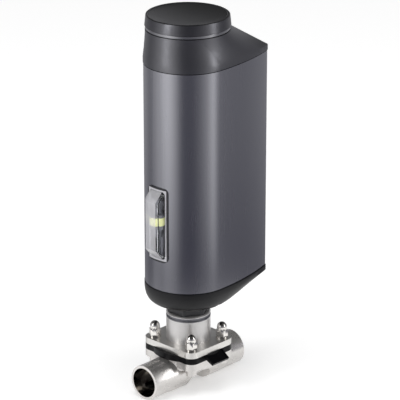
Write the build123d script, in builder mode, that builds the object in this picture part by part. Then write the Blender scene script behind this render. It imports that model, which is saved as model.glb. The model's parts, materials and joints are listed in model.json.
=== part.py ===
from build123d import *
import os
from math import cos, radians, sin, sqrt

# A motorised diaphragm valve. The origin is the centre of the inlet weld end,
# +X runs along the pipe and +Z runs up the spindle. All sizes are in millimetres.

os.makedirs("parts", exist_ok=True)

# Pipe ends: turned spigots outside, straight bores inside, both wider in the waist of the body
body_length = 120.0
pipe_od = 33.7
pipe_wall = 2.6
spigot_length = 25.0
bore_length = 36.0
waist_step = 0.5
waist_blend = 1.5

# Clamped flanges of body, diaphragm and bonnet
flange_length = 60.0
flange_width = 66.0
flange_corner = 9.0
bolt_pitch_x = 42.0
bolt_pitch_y = 48.0
body_face_z = 17.0
body_flange = 7.0
body_swell_r = 33.2
body_swell = 9.5
diaphragm_swell_r = 34.5
diaphragm_rim = 6.0
bonnet_flange = 6.0

# Flow passage, and the arch in the underside below the weir
bowl_r = 20.0
bowl_depth = 25.0
weir_crest_z = 6.0
weir_crest_inset = 1.7
weir_half_foot = 22.0
weir_half_top = 2.4
arch_r = 14.5
arch_axis_z = -13.0
shoulder_length = 50.0
shoulder_width = 56.0
shoulder_corner = 17.0
belly_length = 36.0
belly_width = 23.0
belly_corner = 11.0
belly_z = -9.0

# Body bosses and clamping hardware
boss_r = 5.25
boss_bottom_z = 2.5
boss_round = 1.4
stud_r = 3.0
stud_depth = 11.5
stud_clear = 0.3
washer_r = 5.8
washer_thick = 1.4
nut_across_flats = 10.0
nut_hex_height = 6.0
nut_neck_r = 4.75
nut_bevel = 0.8
nut_neck = 2.6
stud_in_nut = 8.0

# Diaphragm
membrane_thick = 3.0
membrane_lap = 0.5
button_r = 7.0
button_rise = 2.0
insert_cover = 1.5
insert_stem_r = 3.0
insert_head_r = 5.2
insert_head = 1.4
insert_clear = 0.3
insert_stem = 8.0
tab_root = 24.0
tab_tip = 21.5
tab_reach = 11.5
tab_drop = 6.8
tab_thick = 2.2
tab_lip = 0.5
tab_lip_width = 1.2
tab_step = 1.0
tab_lap = 1.5
tab_corner = 1.0

# Running clearances and the overrun of cuts through a face
soft_gap = 0.3
running_gap = 0.05
slip_gap = 0.02
overrun = 1.0

# Drive housing plan
housing_r = 41.0
housing_back_x = 78.0
housing_back_half = 28.0
housing_corner = 4.0
housing_wall = 3.0
cover_proud = 0.4
gasket_inset = 0.5
gasket_thick = 0.8
neck_shoulder = 39.0
neck_corner = 10.0

# Motor radii, as shares of the stator's outside where they grow with it
motor_gap = 7.0
frame_wall = 3.5
ear_step = 2.6
slot_outer_share = 0.895
slot_inner_share = 0.75
stator_bore_share = 0.684
rotor_share = 0.545
bearing_share = 0.765
nut_share = 0.4
shaft_bore_share = 0.345
thread_share = 0.291
air_gap = 0.8

# Spindle drive
stroke = 14.0
spindle_r = 6.0
compressor_r = 16.4
compressor_rim = 4.0
compressor_web = 3.0
press_pocket_r = 2.4
press_pocket_inset = 4.0
pin_r = 1.5
pin_inset = 0.5
pin_z = 37.0
spindle_bottom_z = 31.0
spindle_thread_z = 74.0
spindle_top_z = 178.0
spindle_tip = 1.5

# Bonnet
bonnet_r = 21.15
bonnet_top_z = 56.75
bonnet_cavity_r = 18.0
bonnet_cavity_top_z = 43.0
bonnet_cavity_lip = 1.0
bonnet_cavity_slope = 3.0
bonnet_edge = 1.0
band_depth = 0.7
band_top = 1.6
band_height = 2.6
leak_hole_r = 1.5
leak_hole_z = 38.0
bush_r = 10.0
seal_r = 10.5
seal_height = 4.0

# Hex adapter between bonnet and drive
adapter_across_flats = 35.0
adapter_spigot_r = 15.0
adapter_spigot = 6.75
adapter_neck_r = 17.0
adapter_neck = 6.0
adapter_bore_r = 8.8
o_ring_r = 0.75
o_ring_step = 4.2

# Bottom cover: insets of its sections from the housing plan, from the flat foot upward
foot_inset = 13.5
foot_back = 27.5
foot_half = 12.0
heel_rise = 2.4
heel_inset = 6.5
heel_back_inset = 39.5
heel_half_inset = 12.0
belly_rise = 7.5
belly_inset = 1.8
belly_back_inset = 23.5
belly_half_inset = 6.0
cover_floor = 4.0

# Drive levels
drive_bottom_z = 67.0
housing_bottom_z = 89.0
housing_top_z = 302.3
cover_band = 5.0
rib_x = -24.0
rib_length = 12.0
rib_thick = 2.5
rib_gap = 0.1

# Top cover, light ring and cap
cover_neck_z = 334.6
neck_inset = 1.7
ring_gap = 0.6
ring_inset = 0.4
ring_height = 2.6
cap_bottom_z = 338.2
cap_height = 10.0
cap_proud = 0.4
cap_taper = 1.1
cap_wall = 2.6
cap_border = 2.6
cap_dish = 0.4
cap_edge = 0.8
ring_seat = 6.3
thread_collar = 7.0
skirt_gap = 0.3
skirt_depth = 4.5
cap_seal_thick = 1.2
deck_thick = 3.0

# Tie rods that hold the covers on the housing
rod_r = 2.0
rod_clear = 0.25
rod_port_r = 3.3
rod_back_port_r = 4.5
rod_head_r = 3.5
rod_head = 3.0
rod_boss_wall = 1.2
rod_side_x = 4.0
rod_side_inset = 6.0
rod_back_inset = 6.5
rod_side_head_z = 79.0
rod_back_head_z = 85.0
rod_side_top_z = 309.0
rod_back_top_z = 305.5
rod_boss_cover = 2.0

# Position window
window_z = 154.5
gasket_width = 25.4
gasket_height = 73.0
gasket_corner = 5.0
gasket_border = 3.0
gasket_proud = 0.9
plate_corner = 3.5
bay_proud = 8.0
bay_half = 9.0
bay_slope = 8.5
bay_wall = 1.2
bay_edge = 2.6
bay_margin = 1.5
window_clear = 0.15

# Indicator
arm_width = 8.0
arm_thick = 5.0
arm_top_z = 106.0
arm_hub = 5.0
arm_end_r = 3.0
arm_end_gap = 0.4
carrier_rod_r = 2.0
carrier_inset = 0.5
carrier_r = 4.2
carrier_bottom_z = 143.0
carrier_top_z = 179.0
knob_height = 8.0
knob_r = 4.6
knob_bevel = 1.2
sleeve_r = 7.0
sleeve_bottom_z = 151.0
sleeve_height = 14.0

# Motor heights, from its base upward
arm_clear = 4.0
frame_height = 89.0
frame_base = 9.0
ear_r = 4.2
ear_thick = 5.0
screw_r = 1.6
screw_head_r = 2.4
screw_head = 2.0
screw_depth = 10.0
seal_recess = 0.4
bearing_width = 7.0
bearing_lip = 1.5
stator_rise = 23.0
stator_height = 46.0
slot_count = 12
slot_width = 5.0
slot_mouth = 2.0
winding_gap = 0.1
winding_overhang = 9.0
magnet_count = 8
magnet_gap = 1.4
rotor_drop = 0.5
nut_length = 30.0
shaft_cap = 6.0
shaft_rise = 4.0
motor_cap_height = 6.0
stub_r = 5.0
stub_height = 10.0
encoder_disc_r = 12.0
encoder_disc_height = 3.5
encoder_rise = 8.0
encoder_board_inset = 3.0
pillar_count = 3
pillar_inset = 3.5
board_thick = 1.6
sleeve_rise = 4.5
override_r = 5.0
override_sleeve_r = 7.2
override_sleeve_clear = 0.8
override_socket_flats = 5.0
override_socket = 8.0
override_top_z = 341.0
bush_drop = 4.0
override_bush_r = 9.0

# Electronics
board_back_gap = 20.0
main_board_width = 42.0
main_board_bottom_z = 112.0
main_board_height = 172.0
bracket_back_gap = 15.0
bracket_thick = 2.0
standoff_r = 3.0
standoff_inset_y = 12.0
standoff_inset_z = 10.0
led_board_inset = 5.3
led_board_width = 12.0
board_parts = 5.0
chip_side = 14.0
chip_spot = (-8.0, 40.0)
relay_spot = (9.0, 10.0)
supply_width = 16.0
supply_length = 22.0
supply_spot = (8.0, -40.0)

# Connectors on the back of the housing
power_z = 178.0
signal_z = 144.0
bus_z = 112.0
power_r = 10.0
power_flange_r = 13.0
power_contact_count = 6
signal_r = 6.0
signal_flange_r = 9.0
signal_contact_count = 4
connector_flange = 3.0
connector_reach = 13.0
connector_wall = 1.6
connector_well = 1.6
contact_depth = 5.0
connector_inside = 12.0
connector_nut = 4.0
contact_r = 0.7

# Values that follow from the sizes above
valve_x = body_length / 2
pipe_r = pipe_od / 2
bore_r = pipe_r - pipe_wall
waist_r = pipe_r + waist_step
waist_bore_r = bore_r + waist_step
flange_bottom_z = body_face_z - body_flange
swell_bottom_z = body_face_z - body_swell
rim_top_z = body_face_z + diaphragm_rim
bonnet_ledge_z = rim_top_z + bonnet_flange
bowl_mid_r = (bowl_r**2 + bowl_depth**2) / (2 * bowl_depth)
bowl_axis_z = body_face_z - bowl_depth + bowl_mid_r
crest_half = bowl_r - weir_crest_inset
crest_sag = body_face_z - weir_crest_z
crest_r = (crest_half**2 + crest_sag**2) / (2 * crest_sag)
crest_axis_z = weir_crest_z + crest_r
press_r = crest_r - membrane_thick - soft_gap
press_axis_z = crest_axis_z + stroke
press_bottom_z = press_axis_z - press_r
compressor_edge_z = press_axis_z - sqrt(press_r**2 - compressor_r**2)
press_mid_z = press_axis_z - sqrt(press_r**2 - compressor_r**2 / 4)
compressor_top_z = compressor_edge_z + compressor_rim
press_pocket_orbit = compressor_r - press_pocket_inset
membrane_top_z = press_bottom_z - soft_gap
membrane_bottom_z = membrane_top_z - membrane_thick
membrane_edge_z = body_face_z + (diaphragm_rim - membrane_thick) / 2
button_top_z = membrane_top_z + button_rise
insert_bottom_z = membrane_bottom_z + insert_cover
nut_flats_r = nut_across_flats / 2
nut_corner_r = nut_flats_r / cos(radians(30))
washer_top_z = bonnet_ledge_z + washer_thick
nut_hex_top_z = washer_top_z + nut_hex_height
nut_dome_z = nut_hex_top_z + nut_bevel + nut_neck
nut_top_z = nut_dome_z + nut_neck_r
stud_top_z = washer_top_z + stud_in_nut
o_ring_low_z = bonnet_top_z - adapter_spigot + o_ring_step
adapter_top_z = drive_bottom_z + adapter_neck
seal_bottom_z = bonnet_top_z - adapter_spigot
bush_height = seal_bottom_z - bonnet_cavity_top_z
cover_top_z = housing_bottom_z - gasket_thick
top_cover_z = housing_top_z + gasket_thick
cover_band_z = cover_top_z - cover_band
bottom_sections = [
    (drive_bottom_z, housing_r - foot_inset, foot_back, foot_half),
    (
        drive_bottom_z + heel_rise,
        housing_r - heel_inset,
        housing_back_x - heel_back_inset,
        housing_back_half - heel_half_inset,
    ),
    (
        drive_bottom_z + belly_rise,
        housing_r - belly_inset,
        housing_back_x - belly_back_inset,
        housing_back_half - belly_half_inset,
    ),
    (cover_band_z, housing_r, housing_back_x, housing_back_half),
]
inner_r = housing_r - housing_wall
inner_back_x = housing_back_x - housing_wall
arm_bottom_z = arm_top_z - arm_thick
carrier_rod_x = arm_end_r + arm_end_gap - inner_r
carrier_x = carrier_inset - housing_r
rib_y = arm_width / 2 + rib_gap + rib_thick / 2
frame_r = inner_r - motor_gap
stator_r = frame_r - frame_wall
slot_outer_r = slot_outer_share * stator_r
slot_inner_r = slot_inner_share * stator_r
slot_mid_r = (slot_outer_r + slot_inner_r) / 2
stator_bore_r = stator_bore_share * stator_r
bearing_bore_r = rotor_share * stator_r
bearing_r = bearing_share * stator_r
nut_r = nut_share * stator_r
shaft_bore_r = shaft_bore_share * stator_r
thread_r = thread_share * stator_r
magnet_thick = stator_bore_r - air_gap - bearing_bore_r
arm_hub_r = thread_r + arm_hub
ear_orbit = frame_r + ear_step
encoder_board_r = frame_r - encoder_board_inset
pillar_orbit = encoder_board_r - pillar_inset
frame_base_z = arm_top_z + arm_clear
frame_top_z = frame_base_z + frame_height
stator_bottom_z = frame_base_z + stator_rise
bearing_low_z = frame_base_z + bearing_lip
bearing_high_z = frame_top_z + motor_cap_height - bearing_lip - bearing_width
rotor_bottom_z = frame_base_z - rotor_drop
shaft_top_z = frame_top_z + motor_cap_height + shaft_rise
winding_bottom_z = stator_bottom_z - winding_overhang
winding_top_z = stator_bottom_z + stator_height + winding_overhang
encoder_board_z = shaft_top_z + encoder_rise
override_bottom_z = shaft_top_z + sleeve_rise
deck_z = cover_neck_z - deck_thick
cover_neck_r = housing_r - neck_inset
ring_r = cover_neck_r - ring_inset
ring_seat_r = cover_neck_r - ring_seat
collar_bore_r = ring_seat_r - deck_thick
cap_top_z = cap_bottom_z + cap_height
cap_r = cover_neck_r + cap_proud
cap_top_r = cap_r - cap_taper
cap_dish_r = cap_top_r - cap_border
led_board_r = cover_neck_r - led_board_inset
window_low_z = window_z - gasket_height / 2
window_high_z = window_z + gasket_height / 2
plate_width = gasket_width - 2 * gasket_border
plate_height = gasket_height - 2 * gasket_border
bay_front_x = -housing_r - bay_proud
bay_root_x = -housing_r + housing_wall / 2
bay_low_z = window_low_z + gasket_border + bay_margin
bay_high_z = window_high_z - gasket_border - bay_margin
main_board_mid_z = main_board_bottom_z + main_board_height / 2
main_board_x = housing_back_x - board_back_gap
bracket_x = housing_back_x - bracket_back_gap
rod_boss_r = rod_head_r + rod_boss_wall
rod_side_y = housing_r - rod_side_inset
rod_back_x = housing_back_x - rod_back_inset
rod_back_y = housing_back_half - rod_back_inset

valve_axis = Axis((valve_x, 0, 0), (0, 0, 1))
section_plane = Plane(origin=(valve_x, 0, 0), x_dir=(1, 0, 0), z_dir=(0, -1, 0))


def level(z):
    """Plane across the valve axis at height z, with its origin on the axis."""
    return Plane(origin=(valve_x, 0, z), x_dir=(1, 0, 0), z_dir=(0, 0, 1))


def across(x):
    """Plane across the pipe axis, x from the valve axis, with local x along +Y and y up."""
    return Plane(origin=(valve_x + x, 0, 0), x_dir=(0, 1, 0), z_dir=(1, 0, 0))


def drop_plan(grow=0.0, front=housing_r, back=housing_back_x, half=housing_back_half):
    """Round front about the valve axis, gently convex sides and a flat back."""
    r = front + grow
    x = back + grow
    w = half + grow
    with BuildSketch() as plan:
        with BuildLine():
            ThreePointArc((0, r), (-r, 0), (0, -r))
            TangentArc((0, -r), (x, -w), tangent=(1, 0))
            Line((x, -w), (x, w))
            TangentArc((0, r), (x, w), tangent=(1, 0))
        make_face()
        fillet(plan.vertices().sort_by(Axis.X)[-2:], housing_corner)
    return plan.sketch


def round_plan(r, shoulder=neck_shoulder, corner=neck_corner):
    """Circle cut into the same six edges as drop_plan, so that the two can be lofted."""
    a = radians(90 - shoulder)
    b = a - radians(corner)
    half_a = radians(90 - shoulder / 2)
    half_b = (a + b) / 2
    with BuildSketch() as plan:
        with BuildLine():
            ThreePointArc((0, r), (-r, 0), (0, -r))
            for side in (-1, 1):
                ThreePointArc(
                    (0, side * r),
                    (r * cos(half_a), side * r * sin(half_a)),
                    (r * cos(a), side * r * sin(a)),
                )
                ThreePointArc(
                    (r * cos(a), side * r * sin(a)),
                    (r * cos(half_b), side * r * sin(half_b)),
                    (r * cos(b), side * r * sin(b)),
                )
            ThreePointArc((r * cos(b), -r * sin(b)), (r, 0), (r * cos(b), r * sin(b)))
        make_face()
    return plan.sketch


bolt_corners = GridLocations(bolt_pitch_x, bolt_pitch_y, 2, 2)
rod_side_spots = [(rod_side_x, rod_side_y), (rod_side_x, -rod_side_y)]
rod_back_spots = [(rod_back_x, rod_back_y), (rod_back_x, -rod_back_y)]
rod_spots = rod_side_spots + rod_back_spots
ear_spots = PolarLocations(ear_orbit, 4, start_angle=45)
standoff_spots = Locations(
    (standoff_inset_y, main_board_bottom_z + standoff_inset_z),
    (-standoff_inset_y, main_board_bottom_z + standoff_inset_z),
    (standoff_inset_y, main_board_bottom_z + main_board_height - standoff_inset_z),
    (-standoff_inset_y, main_board_bottom_z + main_board_height - standoff_inset_z),
)


def stepped_bar(end_r, waist, end_length):
    """Half section of a bar along the pipe axis that is thicker between its two ends."""
    near = end_length
    far = body_length - end_length
    with BuildSketch(Plane.XZ) as bar:
        with BuildLine():
            Polyline(
                (0, 0),
                (0, end_r),
                (near, end_r),
                (near + waist_blend, waist),
                (far - waist_blend, waist),
                (far, end_r),
                (body_length, end_r),
                (body_length, 0),
                close=True,
            )
        make_face()
    return bar.sketch


# Weir: the saddle-topped wall across the flow passage
with BuildPart() as weir:
    with BuildSketch(section_plane):
        with BuildLine():
            Polyline(
                (-weir_half_foot, -waist_r),
                (weir_half_foot, -waist_r),
                (weir_half_top, body_face_z),
                (-weir_half_top, body_face_z),
                close=True,
            )
        make_face()
    extrude(amount=bowl_r + pipe_wall, both=True)
    with BuildSketch(across(-weir_half_foot)):
        with Locations((0, crest_axis_z)):
            Circle(crest_r)
    extrude(amount=2 * weir_half_foot, mode=Mode.SUBTRACT)

# Flow passage: straight pipe bore and bowl, less the weir
with BuildPart() as flow_path:
    add(stepped_bar(bore_r, waist_bore_r, bore_length))
    revolve(axis=Axis.X)
    with BuildSketch(section_plane):
        with BuildLine():
            ThreePointArc(
                (0, body_face_z - bowl_depth),
                (bowl_mid_r, bowl_axis_z),
                (bowl_r, body_face_z),
            )
            Line((bowl_r, body_face_z), (0, body_face_z))
            Line((0, body_face_z), (0, body_face_z - bowl_depth))
        make_face()
    revolve(axis=valve_axis)
    add(weir.part, mode=Mode.SUBTRACT)

with BuildSketch() as body_plan:
    RectangleRounded(flange_length, flange_width, flange_corner)

with BuildSketch() as diaphragm_plan:
    RectangleRounded(flange_length, flange_width, flange_corner)
    Circle(diaphragm_swell_r)

# Valve body with weld ends, bowl, flange, stud bosses and the arch below the weir
with BuildPart() as valve_body:
    add(stepped_bar(pipe_r, waist_r, spigot_length))
    revolve(axis=Axis.X)
    with BuildSketch(level(belly_z)):
        RectangleRounded(belly_length, belly_width, belly_corner)
    with BuildSketch(level(swell_bottom_z)):
        RectangleRounded(shoulder_length, shoulder_width, shoulder_corner)
    loft(ruled=True)
    with BuildSketch(level(swell_bottom_z)):
        Circle(body_swell_r)
    extrude(amount=body_swell)
    with BuildSketch(level(flange_bottom_z)):
        add(body_plan.sketch)
    extrude(amount=body_flange)
    with BuildSketch(level(boss_bottom_z)):
        with bolt_corners:
            Circle(boss_r)
    extrude(amount=flange_bottom_z - boss_bottom_z)
    boss_rims = valve_body.edges().filter_by(GeomType.CIRCLE).filter_by_position(
        Axis.Z, boss_bottom_z, boss_bottom_z
    )
    fillet(boss_rims, boss_round)
    add(flow_path.part, mode=Mode.SUBTRACT)
    with BuildSketch(level(body_face_z)):
        Rectangle(body_length - 2 * spigot_length, 2 * waist_r)
    extrude(amount=waist_step, mode=Mode.SUBTRACT)
    with BuildSketch(section_plane):
        with Locations((0, arch_axis_z)):
            Circle(arch_r)
        with Locations((0, arch_axis_z)):
            Rectangle(2 * arch_r, 2 * arch_r, align=(Align.CENTER, Align.MAX))
    extrude(amount=shoulder_width / 2, both=True, mode=Mode.SUBTRACT)
    with BuildSketch(level(body_face_z)):
        with bolt_corners:
            Circle(stud_r + slip_gap)
    extrude(amount=-stud_depth, mode=Mode.SUBTRACT)
valve_body.part.label = "valve_body"
export_step(valve_body.part, "parts/valve_body.step")

# Diaphragm: clamped rim, domed membrane with its button, and the bare tab
with BuildPart() as diaphragm:
    with BuildSketch(level(body_face_z)):
        add(diaphragm_plan.sketch)
        Circle(bowl_r + membrane_lap, mode=Mode.SUBTRACT)
    extrude(amount=diaphragm_rim)
    with BuildSketch(level(body_face_z)):
        with bolt_corners:
            Circle(stud_r + stud_clear)
    extrude(amount=diaphragm_rim, mode=Mode.SUBTRACT)
    with BuildSketch(section_plane):
        with BuildLine():
            Line((0, membrane_bottom_z), (button_r, membrane_bottom_z))
            Spline(
                (button_r, membrane_bottom_z),
                (bowl_r + 2 * membrane_lap, membrane_edge_z),
                tangents=((1, 0), (1, 0)),
            )
            Line(
                (bowl_r + 2 * membrane_lap, membrane_edge_z),
                (bowl_r + 2 * membrane_lap, membrane_edge_z + membrane_thick),
            )
            Spline(
                (bowl_r + 2 * membrane_lap, membrane_edge_z + membrane_thick),
                (button_r, membrane_top_z),
                tangents=((-1, 0), (-1, 0)),
            )
            Line((button_r, membrane_top_z), (button_r, button_top_z))
            Line((button_r, button_top_z), (0, button_top_z))
            Line((0, button_top_z), (0, membrane_bottom_z))
        make_face()
    revolve(axis=valve_axis)
    with BuildSketch(section_plane):
        with Locations((0, insert_bottom_z - insert_clear)):
            Rectangle(
                insert_head_r + insert_clear,
                insert_head + 2 * insert_clear,
                align=(Align.MIN, Align.MIN),
            )
        with Locations((0, insert_bottom_z)):
            Rectangle(
                insert_stem_r + insert_clear,
                button_top_z - insert_bottom_z,
                align=(Align.MIN, Align.MIN),
            )
    revolve(axis=valve_axis, mode=Mode.SUBTRACT)
    tab_slope = Plane(
        origin=(valve_x, -flange_width / 2, rim_top_z - tab_step),
        x_dir=(1, 0, 0),
        z_dir=(0, -tab_drop, tab_reach),
    )
    with BuildSketch(tab_slope) as tab_plan:
        with BuildLine():
            Polyline(
                (-tab_root / 2, tab_lap),
                (-tab_root / 2, 0),
                (-tab_tip / 2, -tab_reach),
                (tab_tip / 2, -tab_reach),
                (tab_root / 2, 0),
                (tab_root / 2, tab_lap),
                close=True,
            )
        make_face()
        fillet(tab_plan.vertices().sort_by(Axis.Z)[:2], tab_corner)
    extrude(amount=-tab_thick)
    with BuildSketch(tab_slope):
        with BuildLine():
            Polyline(
                (-tab_root / 2, 0),
                (-tab_tip / 2, -tab_reach),
                (tab_tip / 2, -tab_reach),
                (tab_root / 2, 0),
                (tab_root / 2 - tab_lip_width, 0),
                (tab_tip / 2 - tab_lip_width, tab_lip_width - tab_reach),
                (tab_lip_width - tab_tip / 2, tab_lip_width - tab_reach),
                (tab_lip_width - tab_root / 2, 0),
                close=True,
            )
        make_face()
    extrude(amount=tab_lip)
diaphragm.part.label = "diaphragm"
export_step(diaphragm.part, "parts/diaphragm.step")

# Insert: the metal button moulded in the diaphragm, with its stem in the compressor
with BuildPart() as diaphragm_insert:
    with BuildSketch(level(insert_bottom_z)):
        Circle(insert_head_r)
    extrude(amount=insert_head)
    with BuildSketch(level(insert_bottom_z)):
        Circle(insert_stem_r)
    extrude(amount=insert_stem)
diaphragm_insert.part.label = "diaphragm_insert"
export_step(diaphragm_insert.part, "parts/diaphragm_insert.step")

# Compressor: presses the diaphragm onto the weir
with BuildPart() as compressor:
    with BuildSketch(section_plane):
        with BuildLine():
            Line((0, press_bottom_z), (0, compressor_top_z))
            Line((0, compressor_top_z), (compressor_r, compressor_top_z))
            Line((compressor_r, compressor_top_z), (compressor_r, compressor_edge_z))
            ThreePointArc(
                (0, press_bottom_z),
                (compressor_r / 2, press_mid_z),
                (compressor_r, compressor_edge_z),
            )
        make_face()
    revolve(axis=valve_axis)
    with BuildSketch(level(0)):
        Circle(button_r + soft_gap)
    extrude(amount=button_top_z + soft_gap, mode=Mode.SUBTRACT)
    with BuildSketch(level(0)):
        Circle(insert_stem_r + slip_gap)
    extrude(amount=insert_bottom_z + insert_stem + soft_gap, mode=Mode.SUBTRACT)
    with BuildSketch(level(compressor_top_z)):
        Circle(spindle_r + slip_gap)
    extrude(amount=spindle_bottom_z - soft_gap - compressor_top_z, mode=Mode.SUBTRACT)
    with BuildSketch(Plane.XZ):
        with Locations((valve_x, pin_z)):
            Circle(pin_r + slip_gap)
    extrude(amount=compressor_r + overrun, both=True, mode=Mode.SUBTRACT)
    with BuildSketch(level(press_bottom_z)):
        with PolarLocations(press_pocket_orbit, 4, start_angle=45):
            Circle(press_pocket_r)
    extrude(amount=compressor_top_z - compressor_web - press_bottom_z, mode=Mode.SUBTRACT)
compressor.part.label = "compressor"
export_step(compressor.part, "parts/compressor.step")

# Cross pin through compressor and spindle
with BuildPart() as compressor_pin:
    with BuildSketch(Plane.XZ):
        with Locations((valve_x, pin_z)):
            Circle(pin_r)
    extrude(amount=compressor_r - pin_inset, both=True)
compressor_pin.part.label = "compressor_pin"
export_step(compressor_pin.part, "parts/compressor_pin.step")

# Spindle: plain lower stem and threaded upper part
with BuildPart() as spindle:
    with BuildSketch(level(spindle_bottom_z)):
        Circle(spindle_r)
    extrude(amount=spindle_thread_z - spindle_bottom_z)
    with BuildSketch(level(spindle_thread_z)):
        Circle(thread_r)
    extrude(amount=spindle_top_z - spindle_thread_z)
    chamfer(spindle.faces().sort_by(Axis.Z)[-1].edges(), spindle_tip)
    with BuildSketch(Plane.XZ):
        with Locations((valve_x, pin_z)):
            Circle(pin_r + slip_gap)
    extrude(amount=spindle_r + overrun, both=True, mode=Mode.SUBTRACT)
spindle.part.label = "spindle"
export_step(spindle.part, "parts/spindle.step")

# Bonnet: flange, spindle housing and leak hole
with BuildPart() as bonnet:
    with BuildSketch(level(rim_top_z)):
        add(body_plan.sketch)
    extrude(amount=bonnet_flange)
    with BuildSketch(level(bonnet_ledge_z)):
        Circle(bonnet_r)
    extrude(amount=bonnet_top_z - bonnet_ledge_z)
    chamfer(bonnet.faces().sort_by(Axis.Z)[-1].edges(), bonnet_edge)
    with BuildSketch(level(bonnet_top_z - band_top)):
        Circle(bonnet_r + overrun)
        Circle(bonnet_r - band_depth, mode=Mode.SUBTRACT)
    extrude(amount=-band_height, mode=Mode.SUBTRACT)
    with BuildSketch(section_plane):
        with BuildLine():
            Polyline(
                (0, rim_top_z),
                (bowl_r + membrane_lap, rim_top_z),
                (bowl_r + membrane_lap, rim_top_z + bonnet_cavity_lip),
                (bonnet_cavity_r, rim_top_z + bonnet_cavity_lip + bonnet_cavity_slope),
                (bonnet_cavity_r, bonnet_cavity_top_z),
                (bush_r + slip_gap, bonnet_cavity_top_z),
                (bush_r + slip_gap, seal_bottom_z),
                (adapter_spigot_r + slip_gap, seal_bottom_z),
                (adapter_spigot_r + slip_gap, bonnet_top_z),
                (0, bonnet_top_z),
                close=True,
            )
        make_face()
    revolve(axis=valve_axis, mode=Mode.SUBTRACT)
    with BuildSketch(level(rim_top_z)):
        with bolt_corners:
            Circle(stud_r + stud_clear)
    extrude(amount=bonnet_flange, mode=Mode.SUBTRACT)
    with BuildSketch(Plane.XZ):
        with Locations((valve_x, leak_hole_z)):
            Circle(leak_hole_r)
    extrude(amount=-(bonnet_r + overrun), mode=Mode.SUBTRACT)
bonnet.part.label = "bonnet"
export_step(bonnet.part, "parts/bonnet.step")

# Studs screwed in the body bosses
with BuildPart() as studs:
    with BuildSketch(level(body_face_z - stud_depth)):
        with bolt_corners:
            Circle(stud_r)
    extrude(amount=stud_top_z - body_face_z + stud_depth)
studs.part.label = "studs"
export_step(studs.part, "parts/studs.step")

# Washers on the bonnet flange
with BuildPart() as washers:
    with BuildSketch(level(bonnet_ledge_z)):
        with bolt_corners:
            Circle(washer_r)
            Circle(stud_r + stud_clear, mode=Mode.SUBTRACT)
    extrude(amount=washer_thick)
washers.part.label = "washers"
export_step(washers.part, "parts/washers.step")

# Domed cap nuts
with BuildPart() as cap_nuts:
    for spot in bolt_corners.locations:
        nut_x = valve_x + spot.position.X
        nut_plane = Plane(origin=(nut_x, spot.position.Y, 0), x_dir=(1, 0, 0), z_dir=(0, -1, 0))
        with BuildSketch(nut_plane):
            with BuildLine():
                Line((0, washer_top_z), (nut_corner_r, washer_top_z))
                Line((nut_corner_r, washer_top_z), (nut_corner_r, nut_hex_top_z))
                Line((nut_corner_r, nut_hex_top_z), (nut_neck_r, nut_hex_top_z + nut_bevel))
                Line((nut_neck_r, nut_hex_top_z + nut_bevel), (nut_neck_r, nut_dome_z))
                CenterArc((0, nut_dome_z), nut_neck_r, 0, 90)
                Line((0, nut_top_z), (0, washer_top_z))
            make_face()
        revolve(axis=Axis((nut_x, spot.position.Y, 0), (0, 0, 1)))
    with BuildSketch(level(washer_top_z)):
        with bolt_corners:
            Circle(nut_across_flats)
            RegularPolygon(nut_flats_r, 6, major_radius=False, mode=Mode.SUBTRACT)
    extrude(amount=nut_hex_height + nut_bevel, mode=Mode.SUBTRACT)
    with BuildSketch(level(washer_top_z)):
        with bolt_corners:
            Circle(stud_r + slip_gap)
    extrude(amount=stud_in_nut + soft_gap, mode=Mode.SUBTRACT)
cap_nuts.part.label = "cap_nuts"
export_step(cap_nuts.part, "parts/cap_nuts.step")

# Guide bush for the spindle in the top of the bonnet
with BuildPart() as guide_bush:
    with BuildSketch(level(bonnet_cavity_top_z)):
        Circle(bush_r)
        Circle(spindle_r + running_gap, mode=Mode.SUBTRACT)
    extrude(amount=bush_height)
guide_bush.part.label = "guide_bush"
export_step(guide_bush.part, "parts/guide_bush.step")

# Spindle seal above the bush
with BuildPart() as spindle_seal:
    with BuildSketch(level(seal_bottom_z)):
        Circle(seal_r)
        Circle(spindle_r + running_gap, mode=Mode.SUBTRACT)
    extrude(amount=seal_height)
spindle_seal.part.label = "spindle_seal"
export_step(spindle_seal.part, "parts/spindle_seal.step")

# Hex adapter: lower spigot in the bonnet, upper neck in the drive
with BuildPart() as hex_adapter:
    with BuildSketch(level(seal_bottom_z)):
        Circle(adapter_spigot_r)
    extrude(amount=adapter_spigot)
    with BuildSketch(level(bonnet_top_z)):
        RegularPolygon(adapter_across_flats / 2, 6, major_radius=False, rotation=30)
    extrude(amount=drive_bottom_z - bonnet_top_z)
    with BuildSketch(level(drive_bottom_z)):
        Circle(adapter_neck_r)
    extrude(amount=adapter_neck)
    with BuildSketch(level(seal_bottom_z)):
        Circle(seal_r + slip_gap)
    extrude(amount=seal_height + slip_gap, mode=Mode.SUBTRACT)
    with BuildSketch(level(seal_bottom_z)):
        Circle(adapter_bore_r)
    extrude(amount=adapter_top_z - seal_bottom_z, mode=Mode.SUBTRACT)
    with BuildSketch(level(o_ring_low_z)):
        Circle(adapter_spigot_r + overrun)
        Circle(adapter_spigot_r - 2 * o_ring_r, mode=Mode.SUBTRACT)
    extrude(amount=2 * o_ring_r, mode=Mode.SUBTRACT)
hex_adapter.part.label = "hex_adapter"
export_step(hex_adapter.part, "parts/hex_adapter.step")

# O-ring between adapter and bonnet
with BuildPart() as adapter_o_ring:
    with BuildSketch(section_plane):
        with Locations((adapter_spigot_r - o_ring_r, o_ring_low_z + o_ring_r)):
            Circle(o_ring_r - slip_gap)
    revolve(axis=valve_axis)
adapter_o_ring.part.label = "adapter_o_ring"
export_step(adapter_o_ring.part, "parts/adapter_o_ring.step")

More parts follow.
